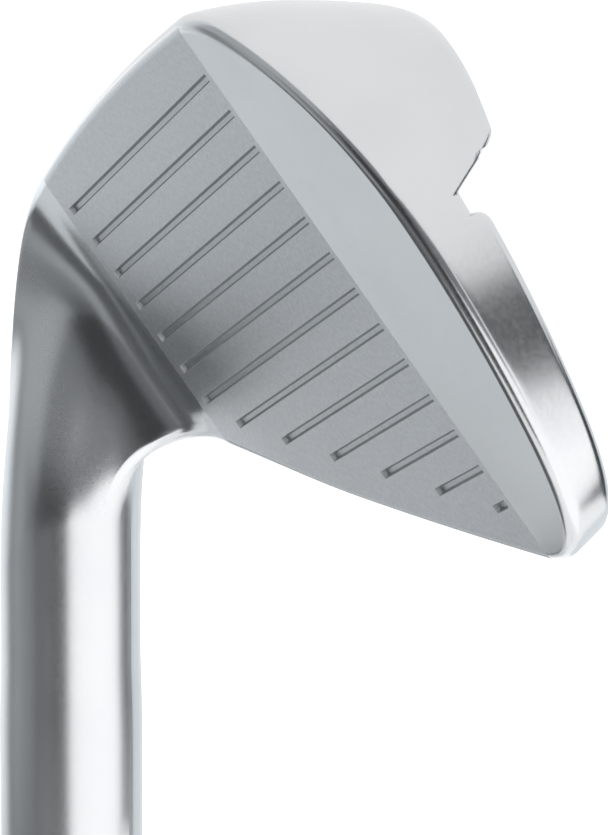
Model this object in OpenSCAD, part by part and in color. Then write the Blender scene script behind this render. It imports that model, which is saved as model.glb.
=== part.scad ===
// Iron golf club, standing on its butt end with the head on top.
// Club frame: +Z runs up the shaft's axis from the grip's end face to the head,
// +X points to the toe and the face looks mostly along -Y.

/* [Club] */
// Length from the grip's end face to the point where the axis meets the ground line
club_length = 952.5; // [920:2.5:980]
// Angle between the shaft and the ground when the club is soled
lie = 62.5; // [61:0.5:64]
// Angle between the face and the vertical when the club is soled
loft = 29; // [27:0.5:31]

/* [Head] */
// Height of the lowest score line above the ground line
line_height = 5.9; // [5.6:0.1:6.2]
// Distance from the toe end of the score lines to the shaft axis at the ground line
axis_to_lines = 53.4; // [53:0.1:54]
// How far the shaft axis stands behind the lowest score line
axis_behind = 1.2; // [1:0.1:1.6]
// Flat part of the face that reaches past the score lines at the heel
heel_flat = 3.9; // [3.5:0.1:4.2]
// Reach of the toe past the score lines
toe_reach = 18; // [17:0.25:19]
// Thickness of the blade behind the top line
blade_t = 4.85; // [4.7:0.05:5.2]
// Depth of the muscle behind the face plane
muscle_t = 15.2; // [14.8:0.1:15.8]
// Width of the machined channel's floor above the muscle
channel_w = 1.95; // [1.7:0.05:2.2]
// Depth of the channel below the blade's back
channel_cut = 1.4; // [1:0.1:1.8]

/* [Score lines] */
// Number of score lines
line_count = 13; // [11:1:13]
// Distance between score lines
line_pitch = 3.5; // [3.4:0.05:3.6]
// Length of the full-width score lines
line_len = 50; // [48:0.5:50]
// Width of a score line at the face
line_w = 0.8; // [0.7:0.05:0.9]
// Depth of a score line
line_depth = 0.45; // [0.35:0.05:0.5]

/* [Hosel] */
// Outer diameter of the hosel
hosel_d = 13.6; // [13.4:0.1:13.8]
// Distance from the ground line to the hosel's open end, along the axis
hosel_len = 69.5; // [69:0.5:72]
// Depth of the hosel's bore
bore_depth = 32; // [30:0.5:34]
// Thickness of the adhesive around the shaft's tip
glue_t = 0.1; // [0.05:0.05:0.15]

/* [Ferrule] */
// Length of the ferrule
ferrule_len = 25; // [20:1:30]
// Diameter of the ferrule's small end
ferrule_d = 10.3; // [10:0.1:11]

/* [Shaft] */
// Tip diameter (parallel tip)
tip_d = 9.4; // [9.3:0.1:9.5]
// Butt diameter
butt_d = 15.24; // [15:0.02:15.5]
// Length of the parallel butt section above the grip's end cap
butt_parallel = 272; // [270:1:280]
// Number of steps between the butt and the tip
step_count = 12; // [10:1:14]
// Distance between steps
step_pitch = 33; // [31:1:34]
// Wall thickness at the butt
wall_butt = 0.45; // [0.4:0.05:0.6]
// Wall thickness at the tip
wall_tip = 0.8; // [0.7:0.05:1]
// Length of the weight plugged into the tip
weight_len = 20; // [15:1:25]

/* [Grip] */
// Length of the grip with its end cap
grip_len = 267; // [264:1:268]
// Diameter of the end cap
cap_d = 27.6; // [27:0.2:28]
// Thickness of the end cap
cap_t = 5; // [4:0.5:6]
// Diameter of the vent hole in the end cap
vent_d = 2; // [1.8:0.1:2.4]
// Diameter of the grip where it starts to taper evenly
grip_d = 23.4; // [22.8:0.2:24]
// Diameter of the grip at its mouth
mouth_d = 17; // [16.8:0.2:17.4]
// Thickness of the adhesive tape under the grip
tape_t = 0.2; // [0.15:0.05:0.25]

/* [Hidden] */
$fn = 96;

steel = [0.74, 0.76, 0.78];
hosel_r = hosel_d / 2;
bore_r = tip_d / 2 + glue_t;
hosel_end = club_length - hosel_len;
bore_end = hosel_end + bore_depth;
glue_floor = 1;
tip_end = bore_end - glue_floor;
tip_bore_r = tip_d / 2 - wall_tip;
tape_r = butt_d / 2 + tape_t;
step_slope = 0.8;
ferrule_steps = 12;
ferrule_lip = 3;
ferrule_grooves = [2.6, 4.4];
ferrule_groove_r = hosel_r - 0.25;
ferrule_groove_w = 0.5;
flare_len = 48;
grip_steps = 40;
mouth_round = 1.2;
mouth_lip = 3;
cap_round = 2.5;
cap_shoulder = 0.8;
grip_inset = 0.3;
taper_power = 0.85;
ferrule_groove_h = 4;

// ---------------------------------------------------------------- small helpers
function mix(a, b, t) = a * (1 - t) + b * t;
function clamp(x, lo, hi) = min(max(x, lo), hi);
function smooth(t) = let (c = clamp(t, 0, 1)) c * c * (3 - 2 * c);
function soft_min(a, b, k) = let (h = max(k - abs(a - b), 0) / k) min(a, b) - h * h * k / 4;
function unit(v) = v / norm(v);

// ---------------------------------------------------------------- head outline
// Face frame: x to the toe, y out of the face, z up the face, with its origin at
// the toe end of the lowest score line.
heel_x = -line_len - heel_flat;
toe_mid_z = 17.75;
low_power = 1.8;
top_power = 1.895;
toe_curve = 0.01387;
toe_corner_r = 14.7;
lead_z = -6.08;
lead_rocker = 0.0012;
lead_low_x = -20;
top_z = 48;
top_rise = 0.369;
top_crown = 0.0008;
line_gap = 4.9;

// Leading edge with a slight rocker, and the lower toe as a quarter of a superellipse
function lead_edge(x) = lead_z + lead_rocker * pow(x - lead_low_x, 2);
function lower(x) = let (part = clamp(x / toe_reach, 0, 1))
    mix(toe_mid_z, lead_edge(x), pow(1 - pow(part, low_power), 1 / low_power));

// Top line with a slight crown, rounded into the upper toe
function top_line(x) = top_z + top_rise * x - top_crown * x * x;
function upper_toe(x) = toe_mid_z + pow(max(toe_reach - x, 0) / toe_curve, 1 / top_power);
function upper(x) = soft_min(top_line(x), upper_toe(x), toe_corner_r);

// ---------------------------------------------------------------- head back
// Depth of the back behind the face plane: the blade on top, a channel, and the muscle.
// The channel starts at the heel, fades in over fade_len and rises towards the toe.
channel_base = 19.1;
channel_rise = 0.1;
channel_mid = 14;
fade_len = 12;
lip_r = 1.45;
blade_swell = 0.065;
bevel_slope = 2.8;
muscle_heel = 1;
muscle_heel_len = 30;
muscle_toe = 1;
muscle_toe_x = 4;
muscle_toe_len = 12;
muscle_fall = 0.354;
muscle_mid_z = 9.5;
muscle_blend = 1.8;
function channel_z(x) = channel_base + channel_rise * (x - channel_mid);
function channel_fade(x) = smooth((x - heel_x - 1) / fade_len);
function blade_depth(x, z) = blade_t + blade_swell * max(top_line(x) - z, 0);
function floor_depth(x, z) = blade_depth(x, z) - channel_cut * channel_fade(x);
function lip_depth(x, z) =
    let (t = clamp((z - channel_z(x) - channel_w) / lip_r, 0, 1))
    mix(floor_depth(x, z), blade_depth(x, z), sqrt(1 - pow(1 - t, 2)));
function muscle_depth(x, z) = muscle_t + muscle_heel * smooth((channel_mid - x) / muscle_heel_len)
    - muscle_toe * smooth((x - muscle_toe_x) / muscle_toe_len) - muscle_fall * (z - muscle_mid_z);
function bevel_depth(x, z) = floor_depth(x, z) + bevel_slope * (channel_z(x) - z);
function back_depth(x, z) = z >= channel_z(x)
    ? lip_depth(x, z)
    : soft_min(bevel_depth(x, z), muscle_depth(x, z), muscle_blend);

// ---------------------------------------------------------------- head walls
// A wall runs from the face back to the head's back. It leans inwards by lean(n) at
// depth n, and both its edges are rounded.
sole_camber = [0.253, 0.0182];
toe_camber = [0.093, 0.01];
edge_r = [1.2, 1.6];
rear_r = [1.2, 3.6];
heel_round = 1;
heel_round_x = -30;
heel_round_len = 24;
sole_from = 0.25;
guess_depth = [6, 13];
rear_share = 0.35;
function lean_of(n, camber) = camber[0] * n + camber[1] * n * n;
function edge_cut(n, r) = n >= r ? 0 : r - sqrt(r * r - pow(r - n, 2));
wall_steps = 10;
front_round = 3;
rear_round = 4;
function wall_depth(i, depth, r_front, r_rear) = i <= front_round
    ? r_front * (1 - cos(90 * i / front_round))
    : i >= wall_steps - rear_round
        ? depth - r_rear * (1 - cos(90 * (wall_steps - i) / rear_round))
        : mix(r_front, depth - r_rear,
            (i - front_round) / (wall_steps - rear_round - front_round));

// Unit normal of the outline, pointing out of the head, at station x on either side. The
// lower outline's slope is averaged over a span that shrinks towards the toe's tip.
slope_span = 4;
slope_least = 0.01;
function slope(x, low) =
    let (e = low ? clamp((toe_reach - x) / slope_span, slope_least, slope_span) : slope_least)
    low ? (lower(x + e) - lower(x - e)) / (2 * e) : (upper(x + e) - upper(x - e)) / (2 * e);
function side_normal(x, low) = let (s = slope(x, low))
    low ? [s, -1] / sqrt(1 + s * s) : [-s, 1] / sqrt(1 + s * s);

// Points of one wall, from the face edge to the back
function wall(x, low) =
    let (n = side_normal(x, low),
        sole_part = low ? smooth((-n[1] - sole_from) / (1 - sole_from)) : 0,
        heel_part = low ? 0 : heel_round * smooth((heel_round_x - x) / heel_round_len),
        r_front = mix(edge_r[0], edge_r[1], sole_part) + heel_part,
        edge = [x, low ? lower(x) : upper(x)],
        r_guess = mix(rear_r[0], rear_r[1], sole_part) + heel_part,
        lean_guess = mix(lean_of(guess_depth[0], toe_camber), lean_of(guess_depth[1], sole_camber), sole_part),
        inner = edge - n * (lean_guess + r_guess),
        depth = back_depth(inner[0], inner[1]),
        r_rear = min(r_guess, depth * rear_share))
    [for (i = [0:wall_steps])
        let (d = wall_depth(i, depth, r_front, r_rear),
            lean = mix(lean_of(d, toe_camber), lean_of(d, sole_camber), sole_part)
                + edge_cut(d, r_front) + edge_cut(depth - d, r_rear),
            p = edge - n * lean)
        [p[0], -d, p[1]]];

// Points of the back between the two walls' rear edges. Rows follow the muscle's corner,
// the bevel, the channel's floor and its round lip.
back_low = 3;
back_high = 3;
near_share = 0.1;
far_share = 0.4;
rows = concat([-4.4, -3.9, -3.4, -2.9, -2.4, -1.2, 0, channel_w],
    [for (a = [25, 50, 70, 90]) channel_w + lip_r * (1 - cos(a))]);
row_first = rows[0];
row_last = rows[len(rows) - 1];
back_mid = len(rows) - 1;
function back_z(z0, z1, zc) =
    let (span = z1 - z0,
        a = clamp(zc + row_first, z0 + near_share * span, z1 - far_share * span),
        b = clamp(zc + row_last, z0 + far_share * span, z1 - near_share * span))
    concat([for (i = [1:back_low]) mix(z0, a, i / back_low)],
        [for (i = [1:back_mid]) mix(a, b, (rows[i] - row_first) / (row_last - row_first))],
        [for (i = [1:back_high]) mix(b, z1, i / (back_high + 1))]);
function back(p0, p1) =
    [for (z = back_z(p0[2], p1[2], channel_z(p0[0])))
        let (x = mix(p0[0], p1[0], (z - p0[2]) / (p1[2] - p0[2])))
        [x, -back_depth(x, z), z]];

// One ring of the blade: the sole wall, the back, and the top wall
function blade_ring(x) =
    let (low = wall(x, true), high = wall(x, false))
    concat(low, back(low[wall_steps], high[wall_steps]),
        [for (i = [wall_steps:-1:0]) high[i]]);
ring_n = 2 * (wall_steps + 1) + back_low + back_mid + back_high;

// Stations along the blade, even by angle around the toe, then even by height at its tip
blade_stations = 8;
toe_stations = 14;
tip_stations = 14;
toe_turn = 76;
tip_low = 0.4;
tip_rise = pow(toe_reach * (1 - sin(toe_turn)) / toe_curve, 1 / top_power);
function tip_station(t) = toe_reach - toe_curve * pow(mix(tip_rise, tip_low, t), top_power);
stations = concat(
    [for (i = [0:blade_stations]) mix(heel_x, 0, i / blade_stations)],
    [for (i = [1:toe_stations]) toe_reach * sin(toe_turn * i / toe_stations)],
    [for (i = [1:tip_stations]) tip_station(i / tip_stations)]);
station_n = len(stations);

// ---------------------------------------------------------------- neck
// The neck's stringers are Bezier curves from the heel ring to a circle on the hosel.
face_n = 8;
neck_rings = 14;
neck_len = 48.5;
waist_r = 6.62;
waist_len = 7.5;
join_h = [33.3, 47.5];
heel_handle = [7.5, 10.5];
hosel_handle = [6, 39.4];
waist_overlap = 0.3;
waist_skin = 0.03;
straight_len = hosel_len - neck_len - waist_len + waist_overlap;
up_axis = [-cos(lie), sin(lie) * sin(loft), sin(lie) * cos(loft)];
toe_axis = [sin(lie), cos(lie) * sin(loft), cos(lie) * cos(loft)];
rear_axis = [0, -cos(loft), sin(loft)];
ground_point = [-axis_to_lines,
    -axis_behind * cos(loft) - line_height * sin(loft),
    axis_behind * sin(loft) - line_height * cos(loft)];

heel_ring = blade_ring(heel_x);
next_ring = blade_ring(heel_x + 1);
face_run = [for (i = [1:face_n]) i / (face_n + 1)];
function with_face(ring) = concat(ring,
    [for (t = face_run) mix(ring[ring_n - 1], ring[0], t)]);
neck_n = ring_n + face_n;
heel_loop = with_face(heel_ring);
next_loop = with_face(next_ring);
loop_centre = [heel_x, -4.5, 8];
rise_axis = [0, sin(loft), cos(loft)];
function turn(p) = let (v = p - loop_centre) atan2(v * rear_axis, v * rise_axis);
function hosel_point(a, h) = ground_point + up_axis * h
    + toe_axis * waist_r * cos(a) + rear_axis * waist_r * sin(a);

function stringer(i) =
    let (p0 = heel_loop[i],
        a = turn(p0),
        side = (1 - cos(a)) / 2,
        p3 = hosel_point(a, mix(join_h[0], join_h[1], side)),
        along = unit(p0 - next_loop[i]),
        h0 = mix(heel_handle[0], heel_handle[1], side),
        h3 = mix(hosel_handle[0], hosel_handle[1], side))
    [p0, p0 + along * h0, p3 - up_axis * h3, p3];
function bezier(c, t) =
    c[0] * pow(1 - t, 3) + c[1] * 3 * t * pow(1 - t, 2) + c[2] * 3 * t * t * (1 - t) + c[3] * t * t * t;
stringers = [for (i = [0:neck_n - 1]) stringer(i)];
function neck_ring(k) = k > neck_rings
    ? [for (p = heel_loop) hosel_point(turn(p), neck_len)]
    : [for (c = stringers) bezier(c, k / neck_rings)];

// ---------------------------------------------------------------- head mesh
// Rings run from the hosel to the heel (with face points), then from the heel to the toe.
neck_points = [for (k = [neck_rings + 1:-1:0]) each neck_ring(k)];
blade_points = [for (i = [1:station_n - 1]) each blade_ring(stations[i])];
blade_start = (neck_rings + 2) * neck_n;
function neck_at(k, i) = k * neck_n + i % neck_n;
function blade_at(s, i) = s == 0
    ? (neck_rings + 1) * neck_n + i
    : blade_start + (s - 1) * ring_n + i;
last = station_n - 1;
far = ring_n - 1;

neck_faces = [for (k = [0:neck_rings], i = [0:neck_n - 1])
    each [[neck_at(k, i), neck_at(k, i + 1), neck_at(k + 1, i + 1)],
        [neck_at(k, i), neck_at(k + 1, i + 1), neck_at(k + 1, i)]]];
blade_faces = [for (s = [0:last - 1], i = [0:ring_n - 2])
    each [[blade_at(s, i), blade_at(s, i + 1), blade_at(s + 1, i + 1)],
        [blade_at(s, i), blade_at(s + 1, i + 1), blade_at(s + 1, i)]]];
hosel_cap = [[for (i = [neck_n - 1:-1:0]) i]];
heel_face = [concat(
    [blade_at(1, 0), blade_at(1, far), blade_at(0, far)],
    [for (i = [0:face_n - 1]) blade_at(0, ring_n + i)],
    [blade_at(0, 0)])];
face_cap = [for (s = [1:last - 1])
    each [[blade_at(s, 0), blade_at(s + 1, 0), blade_at(s + 1, far)],
        [blade_at(s, 0), blade_at(s + 1, far), blade_at(s, far)]]];
toe_corner = wall_steps - rear_round;
toe_cap = concat(
    [for (i = [0:toe_corner - 1])
        each [[blade_at(last, i), blade_at(last, i + 1), blade_at(last, far - i - 1)],
            [blade_at(last, i), blade_at(last, far - i - 1), blade_at(last, far - i)]]],
    [for (i = [toe_corner + 1:far - toe_corner - 1])
        [blade_at(last, toe_corner), blade_at(last, i), blade_at(last, i + 1)]]);

module head_shell()
    polyhedron(concat(neck_points, blade_points),
        concat(neck_faces, blade_faces, hosel_cap, heel_face, face_cap, toe_cap), convexity = 6);

// One score line: a tapered trough, square at the toe and slightly sloped at the heel
line_run = 0.13;
skin = 0.01;
module score_line(length)
    intersection() {
        translate([-length, skin, 0])
        rotate([90, 0, 90])
        linear_extrude(length)
        polygon([[0, line_w / 2], [-line_depth - skin, line_w / 4],
            [-line_depth - skin, -line_w / 4], [0, -line_w / 2]]);
        translate([0, 0, -line_w])
        linear_extrude(2 * line_w)
        polygon([[-length, skin], [0, skin], [0, -line_depth - skin],
            [line_run - length, -line_depth - skin]]);
    }

// Length of the score line at height z: full width, or up to a gap below the top line
function line_end(z) =
    min(line_len, (sqrt(pow(top_rise, 2) + 4 * top_crown * (top_z - z - line_gap)) - top_rise)
        / (2 * top_crown));

module place_head()
    translate([0, 0, club_length])
    rotate([0, lie - 90, 0])
    rotate([180, 0, 0])
    translate([axis_to_lines, axis_behind, line_height])
    rotate([loft, 0, 0])
    children();

// Forged head: blade, neck and hosel in one piece
module head() color(steel)
    difference() {
        union() {
            place_head() head_shell();
            translate([0, 0, hosel_end])
            cylinder(r = hosel_r, h = straight_len);
            translate([0, 0, hosel_end + straight_len])
            cylinder(r1 = hosel_r, r2 = waist_r + waist_skin, h = waist_len);
        }
        translate([0, 0, hosel_end - 1])
        cylinder(r = bore_r, h = bore_depth + 1);
        place_head()
        for (i = [0:line_count - 1])
            translate([0, 0, i * line_pitch])
            score_line(line_end(i * line_pitch));
    }

// Plastic ferrule that fills the step from the hosel down to the shaft
module ferrule() color([0.05, 0.05, 0.055])
    difference() {
        translate([0, 0, hosel_end - ferrule_len])
        rotate_extrude()
        polygon(concat([[0, 0]],
            [for (i = [0:ferrule_steps])
                let (t = i / ferrule_steps)
                [mix(ferrule_d / 2, hosel_r, 1 - pow(1 - t, 2)), t * (ferrule_len - ferrule_lip)]],
            [[hosel_r, ferrule_len], [0, ferrule_len]]));
        translate([0, 0, hosel_end - ferrule_len - 1])
        cylinder(d = tip_d, h = ferrule_len + 2);
        for (z = ferrule_grooves)
            translate([0, 0, hosel_end - z])
            rotate_extrude()
            translate([ferrule_groove_r, 0])
            square([ferrule_groove_h, ferrule_groove_w]);
    }

// Cured adhesive between the shaft's tip and the hosel's bore
module epoxy_bond() color([0.55, 0.5, 0.32])
    translate([0, 0, hosel_end])
    difference() {
        cylinder(r = bore_r, h = bore_depth);
        translate([0, 0, -glue_floor])
        cylinder(d = tip_d, h = bore_depth);
    }

// Weight plug pressed into the tip
module tip_weight() color([0.72, 0.58, 0.3])
    translate([0, 0, tip_end - weight_len])
    cylinder(r = tip_bore_r, h = weight_len);

// Steel tube: parallel butt, even steps, parallel tip
function step_r(i) = mix(butt_d, tip_d, i / step_count) / 2;
function step_z(i) = cap_t + butt_parallel + i * step_pitch;
outer_wall = [for (i = [0:step_count - 1])
    each [[step_r(i), step_z(i)], [step_r(i + 1), step_z(i) + step_slope]]];
module shaft() color(steel)
    rotate_extrude()
    polygon(concat(
        [[butt_d / 2, cap_t]], outer_wall,
        [[tip_d / 2, tip_end], [tip_bore_r, tip_end],
            [tip_bore_r, step_z(step_count)],
            [butt_d / 2 - wall_butt, step_z(0)], [butt_d / 2 - wall_butt, cap_t]]));

// Double-sided tape wound around the butt
module grip_tape() color([0.85, 0.8, 0.62])
    translate([0, 0, cap_t])
    difference() {
        cylinder(r = tape_r, h = grip_len - cap_t - mouth_lip);
        translate([0, 0, -1])
        cylinder(d = butt_d, h = grip_len);
    }

// Rubber sleeve: a flare at the cap, an even taper and a rounded mouth
function grip_r(z) = z < flare_len
    ? mix(cap_d / 2 - grip_inset, grip_d / 2, smooth(z / flare_len))
    : mix(grip_d, mouth_d, pow((z - flare_len) / (grip_len - flare_len), taper_power)) / 2;
module grip() color([0.04, 0.04, 0.045])
    difference() {
        rotate_extrude()
        polygon(concat([[0, cap_t]],
            [for (i = [0:grip_steps])
                let (z = mix(cap_t, grip_len - mouth_round, i / grip_steps))
                [grip_r(z), z]],
            [for (a = [15:15:90])
                [mouth_d / 2 - mouth_round * (1 - cos(a)), grip_len - mouth_round * (1 - sin(a))]],
            [[0, grip_len]]));
        translate([0, 0, cap_t - 1])
        cylinder(r = tape_r, h = grip_len - cap_t - mouth_lip + 1);
        cylinder(d = butt_d, h = grip_len + 1);
    }

// End cap with a rounded rim and a vent hole
module grip_cap() color([0.05, 0.05, 0.055])
    difference() {
        rotate_extrude()
        polygon(concat([[0, 0]],
            [for (a = [0:15:90])
                [cap_d / 2 - cap_round * (1 - sin(a)), cap_round * (1 - cos(a))]],
            [[cap_d / 2, cap_t - cap_shoulder], [cap_d / 2 - grip_inset, cap_t], [0, cap_t]]));
        translate([0, 0, -1])
        cylinder(d = vent_d, h = cap_t + 2);
    }

head();
ferrule();
epoxy_bond();
tip_weight();
shaft();
grip_tape();
grip();
grip_cap();
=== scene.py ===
import math

import bmesh
import bpy
import numpy as np
from mathutils import Matrix, Vector


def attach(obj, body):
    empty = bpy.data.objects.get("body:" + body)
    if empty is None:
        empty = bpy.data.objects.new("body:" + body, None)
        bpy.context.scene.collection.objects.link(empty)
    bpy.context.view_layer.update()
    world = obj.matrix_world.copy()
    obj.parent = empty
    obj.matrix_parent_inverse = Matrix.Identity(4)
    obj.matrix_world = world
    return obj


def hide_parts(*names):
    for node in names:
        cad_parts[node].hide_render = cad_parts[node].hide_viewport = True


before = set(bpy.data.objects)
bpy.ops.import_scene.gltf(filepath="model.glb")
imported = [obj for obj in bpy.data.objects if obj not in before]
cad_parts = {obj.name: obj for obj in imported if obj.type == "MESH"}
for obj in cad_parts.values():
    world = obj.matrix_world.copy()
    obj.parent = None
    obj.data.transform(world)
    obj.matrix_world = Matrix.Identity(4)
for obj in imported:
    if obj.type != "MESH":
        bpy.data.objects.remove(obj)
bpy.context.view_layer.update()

# ---------------------------------------------------------------- sizes in mm, as in the CAD source
CLUB, LIE, LOFT = 952.5, math.radians(62.5), math.radians(29)
AXIS_TO_LINES, AXIS_BEHIND, LINE_HEIGHT = 53.4, 1.2, 5.9
LINE_COUNT, LINE_PITCH, LINE_LEN, LINE_W, LINE_DEPTH = 13, 3.5, 50.0, 0.8, 0.45
LINE_GAP, END_RUN, HEEL_FLAT = 4.9, 0.13, 3.9
HEEL_X = -LINE_LEN - HEEL_FLAT
TOE_REACH, TOE_MID, LOW_POWER, TOP_POWER, TOE_CURVE, CORNER = 18.0, 17.75, 1.8, 1.895, 0.01387, 14.7
LEAD_Z, ROCKER, TOP_Z, TOP_RISE, TOP_CROWN = -6.08, 0.0012, 48.0, 0.369, 0.0008
BLADE_T, BLADE_SWELL = 4.85, 0.065
CHANNEL_W, CHANNEL_CUT, LIP_R, CHANNEL_Z, CHANNEL_RISE = 1.95, 1.4, 1.45, 19.1, 0.1
MUSCLE_T, MUSCLE_HEEL, MUSCLE_TOE, MUSCLE_FALL, MUSCLE_SOFT, BEVEL = 15.2, 1.0, 1.0, 0.354, 1.8, 2.8
SOLE_CAMBER, TOE_CAMBER = (0.253, 0.0182), (0.093, 0.01)
EDGE_R, REAR_R, HEEL_ROUND = (1.2, 1.6), (1.2, 3.6), 1.0
HOSEL_R, WAIST_R, HOSEL_LEN, NECK_LEN, STRAIGHT_LEN = 6.8, 6.62, 69.5, 48.5, 13.5
BORE_R, BORE_DEPTH, TIP_R, TIP_WALL = 4.8, 32.0, 4.7, 0.8
HOSEL_END = CLUB - HOSEL_LEN
BORE_END = HOSEL_END + BORE_DEPTH
TIP_END = BORE_END - 1
FERRULE_LEN, FERRULE_R, FERRULE_LIP = 25.0, 5.15, 3.0
BUTT_R, BUTT_LEN, STEPS, STEP_PITCH, BUTT_WALL = 7.62, 272.0, 12, 33.0, 0.45
WEIGHT_LEN = 20.0
GRIP_LEN, CAP_R, CAP_T, VENT_R, GRIP_R, MOUTH_R, FLARE = 267.0, 13.8, 5.0, 1.0, 11.7, 8.5, 48.0
TAPE_R, MOUTH_LIP = 7.82, 3.0


# ---------------------------------------------------------------- small helpers
def mix(a, b, t):
    return a * (1 - t) + b * t


def smooth(t):
    c = np.clip(t, 0, 1)
    return c * c * (3 - 2 * c)


def soft_min(a, b, k):
    h = np.maximum(k - np.abs(a - b), 0) / k
    return np.minimum(a, b) - h * h * k / 4


def new_object(name, verts, faces):
    """A mesh object from points in mm in the club frame."""
    mesh = bpy.data.meshes.new(name)
    mesh.from_pydata([tuple(v) for v in np.asarray(verts, float) * 0.001], [], faces)
    mesh.validate()
    obj = bpy.data.objects.new(name, mesh)
    bpy.context.scene.collection.objects.link(obj)
    return obj


def finish_mesh(obj, angle=32, weighted=True):
    """Outward normals, smooth faces, and crisp edges where the surface turns sharply."""
    bm = bmesh.new()
    bm.from_mesh(obj.data)
    bmesh.ops.remove_doubles(bm, verts=bm.verts, dist=2e-7)
    bmesh.ops.recalc_face_normals(bm, faces=bm.faces)
    bm.to_mesh(obj.data)
    bm.free()
    obj.data.shade_smooth()
    obj.data.set_sharp_from_angle(angle=math.radians(angle))
    if weighted:
        mod = obj.modifiers.new("weighted", "WEIGHTED_NORMAL")
        mod.keep_sharp = True
        mod.weight = 80
    return obj


def bake(obj):
    """Replace an object's mesh with the result of its modifiers."""
    graph = bpy.context.evaluated_depsgraph_get()
    mesh = bpy.data.meshes.new_from_object(obj.evaluated_get(graph))
    obj.modifiers.clear()
    old = obj.data
    obj.data = mesh
    bpy.data.meshes.remove(old)
    mesh.name = obj.name


# ---------------------------------------------------------------- head outline and back, in the face frame
# x to the toe, y out of the face, z up the face, from the toe end of the lowest score line
def lead_edge(x):
    return LEAD_Z + ROCKER * (x + 20) ** 2


def lower(x):
    part = np.clip(x / TOE_REACH, 0, 1)
    return mix(TOE_MID, lead_edge(x), (1 - part ** LOW_POWER) ** (1 / LOW_POWER))


def top_line(x):
    return TOP_Z + TOP_RISE * x - TOP_CROWN * x * x


def upper(x):
    toe = TOE_MID + (np.maximum(TOE_REACH - x, 0) / TOE_CURVE) ** (1 / TOP_POWER)
    return soft_min(top_line(x), toe, CORNER)


def channel_z(x):
    return CHANNEL_Z + CHANNEL_RISE * (x - 14)


def blade_depth(x, z):
    return BLADE_T + BLADE_SWELL * np.maximum(top_line(x) - z, 0)


def floor_depth(x, z):
    return blade_depth(x, z) - CHANNEL_CUT * smooth((x - HEEL_X - 1) / 12)


def lip_depth(x, z):
    t = np.clip((z - channel_z(x) - CHANNEL_W) / LIP_R, 0, 1)
    return mix(floor_depth(x, z), blade_depth(x, z), np.sqrt(1 - (1 - t) ** 2))


def muscle_depth(x, z):
    return (MUSCLE_T + MUSCLE_HEEL * smooth((14 - x) / 30) - MUSCLE_TOE * smooth((x - 4) / 12)
        - MUSCLE_FALL * (z - 9.5))


def back_depth(x, z):
    bevel = floor_depth(x, z) + BEVEL * (channel_z(x) - z)
    return np.where(z >= channel_z(x), lip_depth(x, z), soft_min(bevel, muscle_depth(x, z), MUSCLE_SOFT))


WALL_STEPS, ROUND = 26, 8


def rounding(n, r):
    return np.where(n >= r, 0, r - np.sqrt(np.maximum(r * r - (r - n) ** 2, 0)))


def lean_of(n, camber):
    return camber[0] * n + camber[1] * n * n


def wall(x, low):
    """Points from the face edge to the back's edge, leaning inwards and rounded at both ends.

    The lower outline's slope is averaged over a span that shrinks towards the toe's tip.
    """
    line = lower if low else upper
    e = float(np.clip((TOE_REACH - x) / 4, 0.01, 4)) if low else 0.01
    slope = (line(x + e) - line(x - e)) / (2 * e)
    n = np.array([slope, -1.0] if low else [-slope, 1.0]) / math.hypot(slope, 1)
    sole = float(smooth((-n[1] - 0.25) / 0.75)) if low else 0.0
    heel = 0.0 if low else HEEL_ROUND * float(smooth((-x - 30) / 24))
    front, rear = mix(EDGE_R[0], EDGE_R[1], sole) + heel, mix(REAR_R[0], REAR_R[1], sole) + heel
    edge = np.array([x, float(line(x))])
    inner = edge - n * (mix(lean_of(6, TOE_CAMBER), lean_of(13, SOLE_CAMBER), sole) + rear)
    depth = float(back_depth(inner[0], inner[1]))
    rear = min(rear, depth * 0.35)
    i = np.arange(WALL_STEPS + 1)
    quarter = np.pi / 2 / ROUND
    d = np.where(i <= ROUND, front * (1 - np.cos(quarter * i)),
        np.where(i >= WALL_STEPS - ROUND, depth - rear * (1 - np.cos(quarter * (WALL_STEPS - i))),
            mix(front, depth - rear, (i - ROUND) / (WALL_STEPS - 2 * ROUND))))
    lean = mix(lean_of(d, TOE_CAMBER), lean_of(d, SOLE_CAMBER), sole) + rounding(d, front) + rounding(depth - d, rear)
    return np.stack([edge[0] - n[0] * lean, -d, edge[1] - n[1] * lean], 1)


# Heights of the back's rows against the channel: muscle, bevel, channel floor, round lip. They are held off
# the walls at both ends, where there is no room for them.
ROWS = np.array([-4.6, -4.4, -4.2, -4.0, -3.8, -3.6, -3.4, -3.2, -3.0, -2.8, -2.6, -2.4, -2.2, -2.0, -1.7, -1.3, -0.8,
    -0.35, -0.1, 0.0, 0.12, CHANNEL_W - 0.12, CHANNEL_W]
    + [CHANNEL_W + LIP_R * (1 - math.cos(math.radians(a))) for a in range(8, 91, 8)]
    + [CHANNEL_W + LIP_R + 0.2])
BACK_LOW, BACK_HIGH = 8, 12
MARGIN, CROWD = 0.1, 0.003


def back(p0, p1):
    z0, z1, zc = p0[2], p1[2], channel_z(p0[0])
    span, count = z1 - z0, np.arange(len(ROWS))
    mid = np.maximum(zc + ROWS, z0 + (MARGIN + CROWD * count) * span)
    mid = np.minimum(mid, z1 - (MARGIN + CROWD * count[::-1]) * span)
    z = np.concatenate([mix(z0, mid[0], np.arange(1, BACK_LOW + 1) / BACK_LOW), mid[1:],
        mix(mid[-1], z1, np.arange(1, BACK_HIGH + 1) / (BACK_HIGH + 1))])
    x = mix(p0[0], p1[0], (z - z0) / span)
    return np.stack([x, -back_depth(x, z), z], 1)


def blade_ring(x):
    low, high = wall(x, True), wall(x, False)
    return np.concatenate([low, back(low[-1], high[-1]), high[::-1]])


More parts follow.
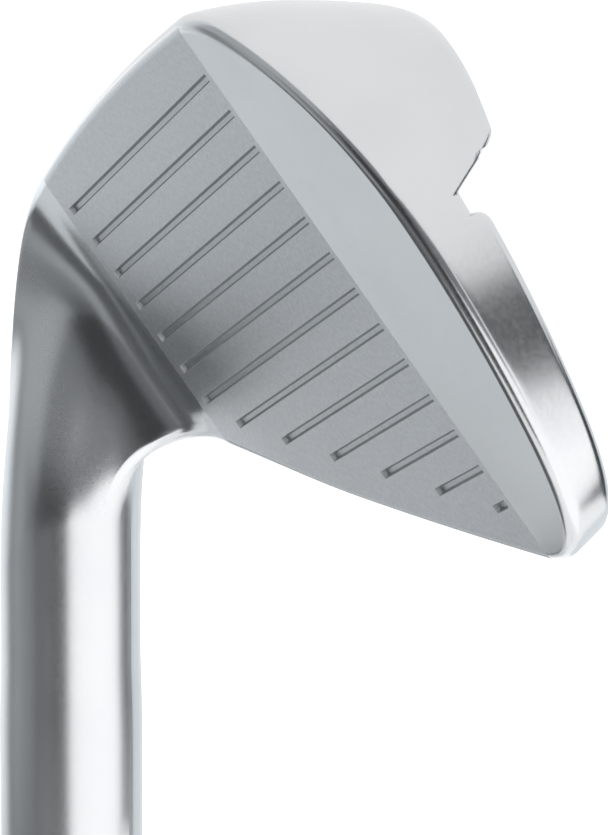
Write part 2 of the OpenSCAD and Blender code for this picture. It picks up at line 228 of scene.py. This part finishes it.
# ---------------------------------------------------------------- neck and hosel
UP = np.array([-math.cos(LIE), math.sin(LIE) * math.sin(LOFT), math.sin(LIE) * math.cos(LOFT)])
TOEWARD = np.array([math.sin(LIE), math.cos(LIE) * math.sin(LOFT), math.cos(LIE) * math.cos(LOFT)])
REARWARD = np.array([0, -math.cos(LOFT), math.sin(LOFT)])
GROUND = np.array([-AXIS_TO_LINES, -AXIS_BEHIND * math.cos(LOFT) - LINE_HEIGHT * math.sin(LOFT),
    AXIS_BEHIND * math.sin(LOFT) - LINE_HEIGHT * math.cos(LOFT)])
FACE_N, NECK_RINGS = 40, 60


def hosel_ring(turn, h, r):
    h = np.broadcast_to(np.asarray(h, float), turn.shape)
    return GROUND + h[:, None] * UP + r * np.cos(turn)[:, None] * TOEWARD + r * np.sin(turn)[:, None] * REARWARD


def heel_loop(x):
    ring = blade_ring(x)
    t = np.arange(1, FACE_N + 1)[:, None] / (FACE_N + 1)
    return np.concatenate([ring, mix(ring[-1], ring[0], t)])


def neck_loops():
    start, ahead = heel_loop(HEEL_X), heel_loop(HEEL_X + 1)
    v = start - np.array([HEEL_X, -4.5, 8])
    turn = np.arctan2(v @ REARWARD, v @ np.array([0, math.sin(LOFT), math.cos(LOFT)]))
    side = (1 - np.cos(turn)) / 2
    end = hosel_ring(turn, mix(33.3, 47.5, side), WAIST_R)
    along = start - ahead
    along /= np.linalg.norm(along, axis=1)[:, None]
    handle = mix(7.5, 10.5, side)
    c1 = start + along * handle[:, None]
    c2 = end - UP * mix(6, 39.4, side)[:, None]
    loops = []
    for k in range(NECK_RINGS, -1, -1):
        t = k / NECK_RINGS
        loops.append(start * (1 - t) ** 3 + c1 * 3 * t * (1 - t) ** 2 + c2 * 3 * t * t * (1 - t) + end * t ** 3)
    hosel = [hosel_ring(turn, h, r) for h, r in (
        (HOSEL_LEN - BORE_DEPTH, BORE_R), (HOSEL_LEN - 0.25, BORE_R), (HOSEL_LEN, BORE_R + 0.25),
        (HOSEL_LEN, HOSEL_R - 0.2), (HOSEL_LEN - 0.06, HOSEL_R - 0.06), (HOSEL_LEN - 0.2, HOSEL_R),
        (HOSEL_LEN - 6, HOSEL_R), (HOSEL_LEN - STRAIGHT_LEN, HOSEL_R), (HOSEL_LEN - STRAIGHT_LEN - 4, 6.72),
        (NECK_LEN, WAIST_R))]
    return hosel + loops


def to_club(q):
    """From the face frame to the club frame, both in mm."""
    x = q[:, 0] + AXIS_TO_LINES
    y = q[:, 1] * math.cos(LOFT) - q[:, 2] * math.sin(LOFT) + AXIS_BEHIND
    z = q[:, 1] * math.sin(LOFT) + q[:, 2] * math.cos(LOFT) + LINE_HEIGHT
    s, c = math.sin(LIE), math.cos(LIE)
    return np.stack([s * x + c * z, -y, c * x - s * z + CLUB], 1)


def line_end(z):
    reach = (math.sqrt(TOP_RISE ** 2 + 4 * TOP_CROWN * (TOP_Z - z - LINE_GAP)) - TOP_RISE) / (2 * TOP_CROWN)
    return min(LINE_LEN, reach)


def score_cutters():
    """One trough per score line, square at the toe and slightly sloped at the heel."""
    verts, faces = [], []
    for i in range(LINE_COUNT):
        z, length = i * LINE_PITCH, line_end(i * LINE_PITCH)
        w, d, top = LINE_W / 2, LINE_DEPTH, 0.2
        k, wide = len(verts), w * (1 + top / d * 0.5)
        for x, run in ((0.0, 0.0), (-length, END_RUN)):
            outer = x - run * top / d
            verts += [(outer, top, z + wide), (outer, top, z - wide), (x + run, -d, z - w / 2), (x + run, -d, z + w / 2)]
        faces += [(k, k + 1, k + 2, k + 3), (k + 7, k + 6, k + 5, k + 4)]
        faces += [(k + j, k + 4 + j, k + 4 + (j + 1) % 4, k + (j + 1) % 4) for j in range(4)]
    return new_object("cutters", to_club(np.array(verts)), faces)


TOE_TURN = 76
TIP_RISE = (TOE_REACH * (1 - math.sin(math.radians(TOE_TURN))) / TOE_CURVE) ** (1 / TOP_POWER)


def build_head():
    necks = neck_loops()
    stations = [mix(HEEL_X, 0, i / 44) for i in range(1, 45)]
    stations += [TOE_REACH * math.sin(math.radians(TOE_TURN * i / 80)) for i in range(1, 81)]
    stations += [TOE_REACH - TOE_CURVE * mix(TIP_RISE, 0.4, i / 44) ** TOP_POWER for i in range(1, 45)]
    rings = [blade_ring(x) for x in stations]
    m, n = len(necks[0]), len(rings[0])
    verts = np.concatenate(necks + rings)
    heel = (len(necks) - 1) * m
    start = len(necks) * m

    def at(s, i):
        return heel + i if s == 0 else start + (s - 1) * n + i

    faces = [(k * m + i, k * m + (i + 1) % m, (k + 1) * m + (i + 1) % m, (k + 1) * m + i)
        for k in range(len(necks) - 1) for i in range(m)]
    faces += [(at(s, i), at(s, i + 1), at(s + 1, i + 1), at(s + 1, i))
        for s in range(len(rings)) for i in range(n - 1)]
    faces.append(tuple(range(m - 1, -1, -1)))
    last = len(rings)
    faces.append(tuple([at(s, 0) for s in range(last + 1)] + [at(s, n - 1) for s in range(last, -1, -1)]
        + [heel + n + i for i in range(FACE_N)]))
    corner = WALL_STEPS - ROUND
    faces += [(at(last, i), at(last, i + 1), at(last, n - 2 - i), at(last, n - 1 - i)) for i in range(corner)]
    faces += [(at(last, corner), at(last, i), at(last, i + 1)) for i in range(corner + 1, n - 1 - corner)]
    head = new_object("head_forging", to_club(verts), faces)
    bm = bmesh.new()
    bm.from_mesh(head.data)
    bmesh.ops.recalc_face_normals(bm, faces=bm.faces)
    bm.to_mesh(head.data)
    bm.free()
    cutters = score_cutters()
    bm = bmesh.new()
    bm.from_mesh(cutters.data)
    bmesh.ops.recalc_face_normals(bm, faces=bm.faces)
    bm.to_mesh(cutters.data)
    bm.free()
    cut = head.modifiers.new("score", "BOOLEAN")
    cut.operation, cut.solver, cut.object = "DIFFERENCE", "EXACT", cutters
    bake(head)
    bpy.data.objects.remove(cutters)
    return finish_mesh(head)


# ---------------------------------------------------------------- turned pieces
def lathe(name, profile, segments=96, closed=True):
    """A turned piece from (radius, height) points, in mm."""
    turn = np.arange(segments) * 2 * math.pi / segments
    verts, faces = [], []
    for r, z in profile:
        verts += [(r * math.cos(a), r * math.sin(a), z) for a in turn]
    rows = len(profile)
    for k in range(rows if closed else rows - 1):
        a, b = k * segments, (k + 1) % rows * segments
        faces += [(a + i, a + (i + 1) % segments, b + (i + 1) % segments, b + i) for i in range(segments)]
    return new_object(name, verts, faces)


def arc(cx, cz, r, a0, a1, n=5):
    return [(cx + r * math.cos(math.radians(mix(a0, a1, i / n))), cz + r * math.sin(math.radians(mix(a0, a1, i / n))))
        for i in range(n + 1)]


def build_ferrule():
    low = HOSEL_END - FERRULE_LEN
    outer = [(mix(FERRULE_R, HOSEL_R, 1 - (1 - t) ** 2) - 0.01, low + t * (FERRULE_LEN - FERRULE_LIP))
        for t in np.linspace(0.012, 1, 28)]
    for z in (4.4, 2.6):
        base = HOSEL_END - z
        outer += [(HOSEL_R, base - 0.08), (HOSEL_R - 0.12, base), (HOSEL_R - 0.25, base + 0.1),
            (HOSEL_R - 0.25, base + 0.4), (HOSEL_R - 0.12, base + 0.5), (HOSEL_R, base + 0.58)]
    outer += [(HOSEL_R, HOSEL_END - 0.15), (HOSEL_R - 0.12, HOSEL_END - 0.02)]
    outer = sorted(outer, key=lambda p: p[1])
    profile = [(TIP_R + 0.03, low + 0.1), (TIP_R + 0.12, low)] + outer + [(TIP_R + 0.03, HOSEL_END - 0.02)]
    return finish_mesh(lathe("ferrule_collar", profile), 38)


def step_r(i):
    return mix(BUTT_R, TIP_R, i / STEPS)


def step_z(i):
    return CAP_T + BUTT_LEN + i * STEP_PITCH


def build_shaft():
    outer = [(BUTT_R - 0.1, CAP_T + 0.02), (BUTT_R, CAP_T + 0.15)]
    for i in range(STEPS):
        a, b = step_r(i), step_r(i + 1)
        outer += [(a, step_z(i) - 0.12), (mix(a, b, 0.12), step_z(i) + 0.06), (mix(a, b, 0.88), step_z(i) + 0.72),
            (b, step_z(i) + 0.95)]
    outer += [(TIP_R, TIP_END - 0.2), (TIP_R - 0.15, TIP_END)]
    inner = [(TIP_R - TIP_WALL, TIP_END), (TIP_R - TIP_WALL, step_z(STEPS)), (BUTT_R - BUTT_WALL, step_z(0)),
        (BUTT_R - BUTT_WALL, CAP_T + 0.02)]
    return finish_mesh(lathe("shaft_tube", outer + inner, 112), 30)


def build_weight():
    r, z0 = TIP_R - TIP_WALL, TIP_END - WEIGHT_LEN
    profile = [(0.4, z0), (r - 0.5, z0), (r - 0.01, z0 + 0.5)]
    for k in range(5):
        z = z0 + 3 + 3 * k
        profile += [(r - 0.01, z), (r - 0.2, z + 0.2), (r - 0.2, z + 0.5), (r - 0.01, z + 0.7)]
    profile += [(r - 0.01, TIP_END - 0.3), (r - 0.3, TIP_END), (1.4, TIP_END), (0.6, TIP_END - 1), (0.4, TIP_END - 1)]
    return finish_mesh(lathe("tip_weight_plug", profile, 64), 30)


def build_epoxy():
    top = BORE_END - 0.01
    profile = [(TIP_R + 0.005, HOSEL_END + 0.05), (BORE_R - 0.005, HOSEL_END + 0.05), (BORE_R - 0.005, top - 0.2),
        (BORE_R - 0.2, top), (0.3, top), (0.3, TIP_END + 0.005), (TIP_R + 0.005, TIP_END + 0.005)]
    return finish_mesh(lathe("epoxy_sleeve", profile, 64), 30)


def build_tape():
    """Paper tape wound in one helix, its overlap standing a little proud."""
    seg, rows = 72, 200
    z0, z1 = CAP_T + 0.05, GRIP_LEN - MOUTH_LIP - 0.05
    verts, faces = [], []
    for k in range(rows + 1):
        z = mix(z0, z1, k / rows)
        for i in range(seg):
            a = 2 * math.pi * i / seg
            lap = ((z / 18 - a / (2 * math.pi)) % 1) < 0.12
            r = TAPE_R - 0.01 - (0.0 if lap else 0.07)
            verts.append((r * math.cos(a), r * math.sin(a), z))
    base = len(verts)
    for z in (z0, z1):
        verts += [((BUTT_R + 0.005) * math.cos(2 * math.pi * i / seg), (BUTT_R + 0.005) * math.sin(2 * math.pi * i / seg), z)
            for i in range(seg)]
    for k in range(rows):
        faces += [(k * seg + i, k * seg + (i + 1) % seg, (k + 1) * seg + (i + 1) % seg, (k + 1) * seg + i) for i in range(seg)]
    for i in range(seg):
        j = (i + 1) % seg
        faces += [(base + i, base + j, j, i), (rows * seg + i, rows * seg + j, base + seg + j, base + seg + i),
            (base + seg + i, base + seg + j, base + j, base + i)]
    return finish_mesh(new_object("grip_tape_wrap", verts, faces), 40, weighted=False)


def grip_r(z):
    if z < FLARE:
        return mix(CAP_R - 0.3, GRIP_R, float(smooth(z / FLARE)))
    return mix(GRIP_R, MOUTH_R, ((z - FLARE) / (GRIP_LEN - FLARE)) ** 0.85)


def build_grip():
    """Rubber sleeve with two crossing sets of moulded grooves and plain rings."""
    seg, rows = 240, 460
    z0, z1 = CAP_T + 0.02, GRIP_LEN - 1.2
    z = np.linspace(z0, z1, rows + 1)
    a = np.arange(seg) * 2 * math.pi / seg
    base = np.array([grip_r(v) for v in z])[:, None]
    zz, aa = z[:, None], a[None, :]
    count, pitch = 15, 11.0

    def groove(phase):
        f = np.abs((phase + 0.5) % 1 - 0.5)
        return smooth((0.16 - f) / 0.09)

    cross = np.maximum(groove(aa * count / (2 * math.pi) + zz / pitch), groove(aa * count / (2 * math.pi) - zz / pitch))
    window = smooth((zz - 20) / 1.5) * smooth((GRIP_LEN - 16 - zz) / 1.5)
    for c in (92.0, 176.0):
        window = window * (1 - smooth((3.2 - np.abs(zz - c)) / 1.0))
    rings = np.zeros_like(cross)
    for c in (12.0, 16.0, 92.0, 176.0, GRIP_LEN - 11, GRIP_LEN - 7.5):
        rings = np.maximum(rings, smooth((0.9 - np.abs(zz - c)) / 0.5) + 0 * aa)
    r = base - 0.35 * cross * window - 0.3 * rings - 0.01
    x, y = r * np.cos(aa), r * np.sin(aa)
    verts = np.stack([x, y, zz + 0 * aa], -1).reshape(-1, 3).tolist()
    faces = [(k * seg + i, k * seg + (i + 1) % seg, (k + 1) * seg + (i + 1) % seg, (k + 1) * seg + i)
        for k in range(rows) for i in range(seg)]
    rim = [(MOUTH_R - 1.2 * (1 - math.cos(math.radians(t))) - 0.01, GRIP_LEN - 1.2 * (1 - math.sin(math.radians(t))))
        for t in (18, 36, 54, 72, 90)]
    inside = rim + [(BUTT_R + 0.02, GRIP_LEN), (BUTT_R + 0.02, GRIP_LEN - MOUTH_LIP), (TAPE_R + 0.01, GRIP_LEN - MOUTH_LIP),
        (TAPE_R + 0.01, z0)]
    first = rows * seg
    for rr, h in inside:
        row = len(verts)
        verts += [(rr * math.cos(t), rr * math.sin(t), h) for t in a]
        faces += [(first + i, first + (i + 1) % seg, row + (i + 1) % seg, row + i) for i in range(seg)]
        first = row
    faces += [(first + i, first + (i + 1) % seg, (i + 1) % seg, i) for i in range(seg)]
    return finish_mesh(new_object("grip_sleeve", verts, faces), 50, weighted=False)


def build_cap():
    rim = arc(CAP_R - 2.5, 2.5, 2.5, -90, 0, 10)
    profile = [(VENT_R + 0.25, 0.0), (6.0, 0.0), (6.2, 0.25), (7.0, 0.25), (7.2, 0.0), (9.6, 0.0), (9.75, 0.2),
        (10.1, 0.2), (10.25, 0.0)] + rim + [(CAP_R, CAP_T - 0.8), (CAP_R - 0.1, CAP_T - 0.35), (CAP_R - 0.3, CAP_T - 0.02),
        (VENT_R, CAP_T - 0.02), (VENT_R, 0.25)]
    return finish_mesh(lathe("grip_end_cap", profile, 96), 35)


# ---------------------------------------------------------------- materials
class Nodes:
    """Short way to write a shader's node tree."""

    def __init__(self, name):
        self.mat = bpy.data.materials.new(name)
        self.mat.use_nodes = True
        self.tree = self.mat.node_tree
        self.tree.nodes.clear()
        self.out = self.tree.nodes.new("ShaderNodeOutputMaterial")
        self.bsdf = self.add("ShaderNodeBsdfPrincipled")
        self.tree.links.new(self.bsdf.outputs[0], self.out.inputs[0])
        self.place = self.add("ShaderNodeTexCoord").outputs["Object"]

    def add(self, kind, **props):
        node = self.tree.nodes.new(kind)
        for key, value in props.items():
            setattr(node, key, value)
        return node

    def put(self, value, socket):
        if isinstance(value, bpy.types.NodeSocket):
            self.tree.links.new(value, socket)
        else:
            socket.default_value = value

    def math(self, op, *args):
        node = self.add("ShaderNodeMath", operation=op)
        for i, value in enumerate(args):
            self.put(value, node.inputs[i])
        return node.outputs[0]

    def dot(self, vector, offset):
        node = self.add("ShaderNodeVectorMath", operation="DOT_PRODUCT")
        self.put(self.place, node.inputs[0])
        node.inputs[1].default_value = vector
        return self.math("ADD", node.outputs["Value"], offset)

    def ramp(self, value, low, high, to_low=0.0, to_high=1.0, smooth_step=True):
        node = self.add("ShaderNodeMapRange", interpolation_type="SMOOTHSTEP" if smooth_step else "LINEAR")
        self.put(value, node.inputs["Value"])
        for key, v in (("From Min", low), ("From Max", high), ("To Min", to_low), ("To Max", to_high)):
            self.put(v, node.inputs[key])
        return node.outputs[0]

    def noise(self, scale, detail=2.0, rough=0.5, vector=None, stretch=None):
        source = vector or self.place
        if stretch:
            scaled = self.add("ShaderNodeMapping")
            self.put(source, scaled.inputs["Vector"])
            scaled.inputs["Scale"].default_value = stretch
            source = scaled.outputs[0]
        node = self.add("ShaderNodeTexNoise")
        self.put(source, node.inputs["Vector"])
        node.inputs["Scale"].default_value = scale
        node.inputs["Detail"].default_value = detail
        node.inputs["Roughness"].default_value = rough
        return node.outputs["Fac"]

    def blend(self, fac, a, b):
        node = self.add("ShaderNodeMix", data_type="RGBA")
        self.put(fac, node.inputs[0])
        self.put(a, node.inputs[6])
        self.put(b, node.inputs[7])
        return node.outputs[2]

    def bump(self, height, strength, distance, normal=None):
        node = self.add("ShaderNodeBump")
        self.put(strength, node.inputs["Strength"])
        node.inputs["Distance"].default_value = distance
        self.put(height, node.inputs["Height"])
        if normal is not None:
            self.put(normal, node.inputs["Normal"])
        return node.outputs[0]

    def set(self, **sockets):
        for key, value in sockets.items():
            self.put(value, self.bsdf.inputs[key.replace("_", " ")])
        return self.mat


def face_axes():
    """Face-frame axes and origin in the club frame, in metres, to place the blasted zone."""
    o = to_club(np.zeros((1, 3)))[0]
    axes = [to_club(np.eye(3)[i:i + 1])[0] - o for i in range(3)]
    return o * 0.001, axes


def plated_steel():
    n = Nodes("plated_steel")
    origin, (u_axis, n_axis, v_axis) = face_axes()
    u = n.dot(tuple(u_axis), -float(origin @ u_axis))
    out = n.dot(tuple(n_axis), -float(origin @ n_axis))
    wobble = n.math("MULTIPLY", n.math("SUBTRACT", n.noise(900, 2), 0.5), 0.0001)
    edge = n.math("ADD", u, wobble)
    height_up = n.dot(tuple(v_axis), -float(origin @ v_axis))
    in_lines = n.math("MULTIPLY", n.ramp(out, -0.0012, -0.0008), n.ramp(height_up, -0.0008, -0.0006))
    on_face = n.math("MAXIMUM", n.ramp(out, -0.0003, -0.00005), in_lines)
    zone = n.math("MULTIPLY", n.math("MULTIPLY", n.ramp(edge, -0.0516, -0.0514), n.ramp(edge, 0.00095, 0.0008)), on_face)
    grain = n.noise(5200, 2, 0.6)
    fine = n.noise(2400, 3, 0.6)
    cloud = n.noise(60, 3, 0.55)
    satin = n.blend(n.ramp(cloud, 0.3, 0.7), (0.66, 0.675, 0.69, 1), (0.70, 0.712, 0.724, 1))
    blasted = n.blend(n.ramp(fine, 0.3, 0.7), (0.63, 0.65, 0.67, 1), (0.73, 0.75, 0.77, 1))
    # painted shade: the score lines' long side walls (not their ends or floors) get a darker base colour, standing in
    # for the shade inside the grooves
    facing = n.add("ShaderNodeVectorMath", operation="DOT_PRODUCT")
    n.put(n.add("ShaderNodeNewGeometry").outputs["True Normal"], facing.inputs[0])
    facing.inputs[1].default_value = tuple(u_axis)
    side_wall = n.ramp(n.math("ABSOLUTE", facing.outputs["Value"]), 0.6, 0.4)
    groove = n.math("MULTIPLY", in_lines, n.math("MULTIPLY", n.ramp(out, -0.00044, -0.0004), n.ramp(out, -0.00002, -0.00005)))
    groove = n.math("MULTIPLY", groove, side_wall)
    blasted_with_groove_shade = n.blend(groove, blasted, (0.40, 0.415, 0.43, 1))
    colour = n.blend(zone, satin, blasted_with_groove_shade)
    satin_rough = n.ramp(u, -0.064, -0.057, 0.3, 0.2)
    rough = n.math("ADD", n.ramp(zone, 0, 1, satin_rough, 0.42, False), n.ramp(fine, 0.3, 0.7, -0.02, 0.02))
    height = n.blend(zone, fine, grain)
    normal = n.bump(height, n.ramp(zone, 0, 1, 0.012, 0.22, False), 0.00006)
    return n.set(Base_Color=colour, Metallic=1.0, Roughness=rough, Normal=normal)


def ferrule_plastic():
    n = Nodes("ferrule_plastic")
    cloud = n.noise(180, 3)
    normal = n.bump(n.noise(420, 2, 0.5, stretch=(1, 1, 0.2)), 0.05, 0.0001)
    return n.set(Base_Color=n.blend(cloud, (0.012, 0.012, 0.013, 1), (0.02, 0.02, 0.022, 1)),
        Roughness=n.ramp(cloud, 0.3, 0.7, 0.12, 0.22), Normal=normal, Specular_IOR_Level=0.5)


def shaft_chrome():
    n = Nodes("shaft_chrome")
    polish = n.noise(300, 2, 0.5, stretch=(1, 1, 9))
    normal = n.bump(polish, 0.03, 0.00005)
    return n.set(Base_Color=(0.78, 0.79, 0.81, 1), Metallic=1.0, Roughness=n.ramp(polish, 0.3, 0.7, 0.07, 0.14), Normal=normal)


def rubber(name, low, high, scale):
    n = Nodes(name)
    cloud, grain = n.noise(90, 3), n.noise(scale, 3, 0.6)
    normal = n.bump(grain, 0.35, 0.00012)
    return n.set(Base_Color=n.blend(cloud, low, high), Roughness=n.ramp(grain, 0.3, 0.7, 0.6, 0.78), Normal=normal,
        Specular_IOR_Level=0.4)


def simple(name, low, high, rough, metal=0.0, scale=400):
    n = Nodes(name)
    grain = n.noise(scale, 4, 0.6)
    return n.set(Base_Color=n.blend(n.ramp(grain, 0.3, 0.7), low, high), Metallic=metal,
        Roughness=n.ramp(grain, 0.3, 0.7, rough - 0.05, rough + 0.05), Normal=n.bump(grain, 0.2, 0.0001))


LOOKS = {
    "plated_steel": plated_steel(),
    "ferrule_plastic": ferrule_plastic(),
    "shaft_chrome": shaft_chrome(),
    "grip_rubber": rubber("grip_rubber", (0.018, 0.018, 0.019, 1), (0.032, 0.032, 0.034, 1), 1800),
    "cap_rubber": rubber("cap_rubber", (0.02, 0.02, 0.021, 1), (0.034, 0.034, 0.036, 1), 2600),
    "epoxy": simple("epoxy", (0.46, 0.40, 0.24, 1), (0.58, 0.52, 0.33, 1), 0.4),
    "weight_brass": simple("weight_brass", (0.62, 0.46, 0.2, 1), (0.74, 0.58, 0.29, 1), 0.32, 1.0, 900),
    "tape_paper": simple("tape_paper", (0.76, 0.70, 0.52, 1), (0.85, 0.79, 0.61, 1), 0.8, 0.0, 700),
}

for make, node, slot in ((build_head, "head", "plated_steel"), (build_ferrule, "ferrule", "ferrule_plastic"),
        (build_epoxy, "epoxy_bond", "epoxy"), (build_weight, "tip_weight", "weight_brass"),
        (build_shaft, "shaft", "shaft_chrome"), (build_tape, "grip_tape", "tape_paper"),
        (build_grip, "grip", "grip_rubber"), (build_cap, "grip_cap", "cap_rubber")):
    piece = make()
    piece.data.materials.clear()
    piece.data.materials.append(LOOKS[slot])
    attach(piece, "root")
    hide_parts(node)

# ---------------------------------------------------------------- studio: floor, cards and soft boxes
def glow(name, colour, strength):
    mat = bpy.data.materials.new(name)
    mat.use_nodes = True
    tree = mat.node_tree
    tree.nodes.clear()
    emit, out = tree.nodes.new("ShaderNodeEmission"), tree.nodes.new("ShaderNodeOutputMaterial")
    emit.inputs[0].default_value = (*colour, 1)
    emit.inputs[1].default_value = strength
    tree.links.new(emit.outputs[0], out.inputs[0])
    return mat


def panel(name, az, el, colour, strength, radius=0.85, centre=(30, 0, 930)):
    """A curved card around the head, seen only in reflections, from az[0] to az[1] and el[0] to el[1] degrees."""
    na, ne = max(2, int((az[1] - az[0]) / 4)), max(2, int((el[1] - el[0]) / 6))
    verts, faces = [], []
    for i in range(na + 1):
        for j in range(ne + 1):
            a, e = math.radians(mix(az[0], az[1], i / na)), math.radians(mix(el[0], el[1], j / ne))
            verts.append((centre[0] + 1000 * radius * math.cos(e) * math.cos(a),
                centre[1] + 1000 * radius * math.cos(e) * math.sin(a), centre[2] + 1000 * radius * math.sin(e)))
    for i in range(na):
        for j in range(ne):
            k = i * (ne + 1) + j
            faces.append((k, k + ne + 1, k + ne + 2, k + 1))
    obj = new_object(name, verts, faces)
    obj.data.materials.append(glow(name, colour, strength))
    obj.visible_camera = False
    return obj


COOL, NEUTRAL, BLUISH = (0.93, 0.97, 1.0), (1.0, 1.0, 1.0), (0.75, 0.88, 1.0)
panel("softbox_right", (-12, 70), (-62, -4), NEUTRAL, 1.4)
panel("softbox_right_top", (22, 72), (-4, 7), NEUTRAL, 1.3)
panel("flag_band", (26, 80), (7, 22), COOL, 0.1)
panel("flag_above", (-32, 18), (-3, 24), COOL, 0.2)
panel("flag_left_dark", (-80, -20), (-15, 12), COOL, 0.05)
panel("flag_left_under", (-80, -48), (-37, -15), COOL, 0.18)
panel("flag_left_foot", (-48, -20), (-37, -15), COOL, 0.07)
panel("flag_left_low", (-142, -80), (-62, -27), COOL, 0.12)
panel("card_left", (-124, -104), (-27, 4), COOL, 0.45)
panel("card_left_mid", (-104, -90), (-17, 4), COOL, 0.26)
panel("card_left_end", (-90, -80), (-17, 4), COOL, 0.15)
panel("card_left_foot", (-104, -80), (-27, -17), COOL, 0.4)
panel("strip_left", (-150, -138), (-27, 34), COOL, 0.85, 0.84)
panel("flag_left_edge", (-138, -124), (-27, 4), COOL, 0.26, 0.84)
panel("flag_left_high", (-138, -75), (12, 34), COOL, 0.5, 0.84)
panel("flag_left_top", (-75, -32), (12, 34), COOL, 0.24, 0.84)
panel("flag_left_mid", (-138, -80), (4, 12), COOL, 0.5, 0.84)
panel("flag_right", (74, 105), (-28, 9), BLUISH, 0.06)
panel("card_right", (105, 150), (-60, 10), COOL, 0.95)
panel("card_rear", (176, 218), (-60, -25), COOL, 0.78)
panel("card_rear_high", (176, 218), (-25, -10), COOL, 1.2)

floor = new_object("floor", [(-6000, -6000, 0), (6000, -6000, 0), (6000, 6000, 0), (-6000, 6000, 0)], [(0, 1, 2, 3)])
floor_mat = bpy.data.materials.new("floor")
floor_mat.use_nodes = True
shade = floor_mat.node_tree.nodes["Principled BSDF"]
shade.inputs["Base Color"].default_value = (0.92, 0.92, 0.92, 1)
shade.inputs["Roughness"].default_value = 1.0
shade.inputs["Specular IOR Level"].default_value = 0.0
shade.inputs["Emission Color"].default_value = (1, 1, 1, 1)
shade.inputs["Emission Strength"].default_value = 0.35
floor.data.materials.append(floor_mat)

world = bpy.data.worlds.new("studio")
world.use_nodes = True
world.node_tree.nodes["Background"].inputs[0].default_value = (1, 1, 1, 1)
world.node_tree.nodes["Background"].inputs[1].default_value = 1.0
bpy.context.scene.world = world

# ---------------------------------------------------------------- camera at the photo's view
camera = bpy.data.objects.new("camera", bpy.data.cameras.new("camera"))
bpy.context.scene.collection.objects.link(camera)
right, down, look = (Vector(v) for v in ((0.29517, 0.95539, 0.01036), (0.2981, -0.08178, -0.95102), (-0.90775, 0.2838, -0.30894)))
turned = Matrix((right, -down, -look)).transposed().to_4x4()
camera.matrix_world = Matrix.Translation((0.39927, -0.10187, 1.06123)) @ turned
camera.data.lens = 199.61
camera.data.sensor_width = 36
camera.data.clip_start, camera.data.clip_end = 0.01, 30
bpy.context.scene.camera = camera

view = bpy.context.scene.view_settings
view.view_transform, view.look, view.exposure, view.gamma = "Standard", "None", 0.0, 1.0
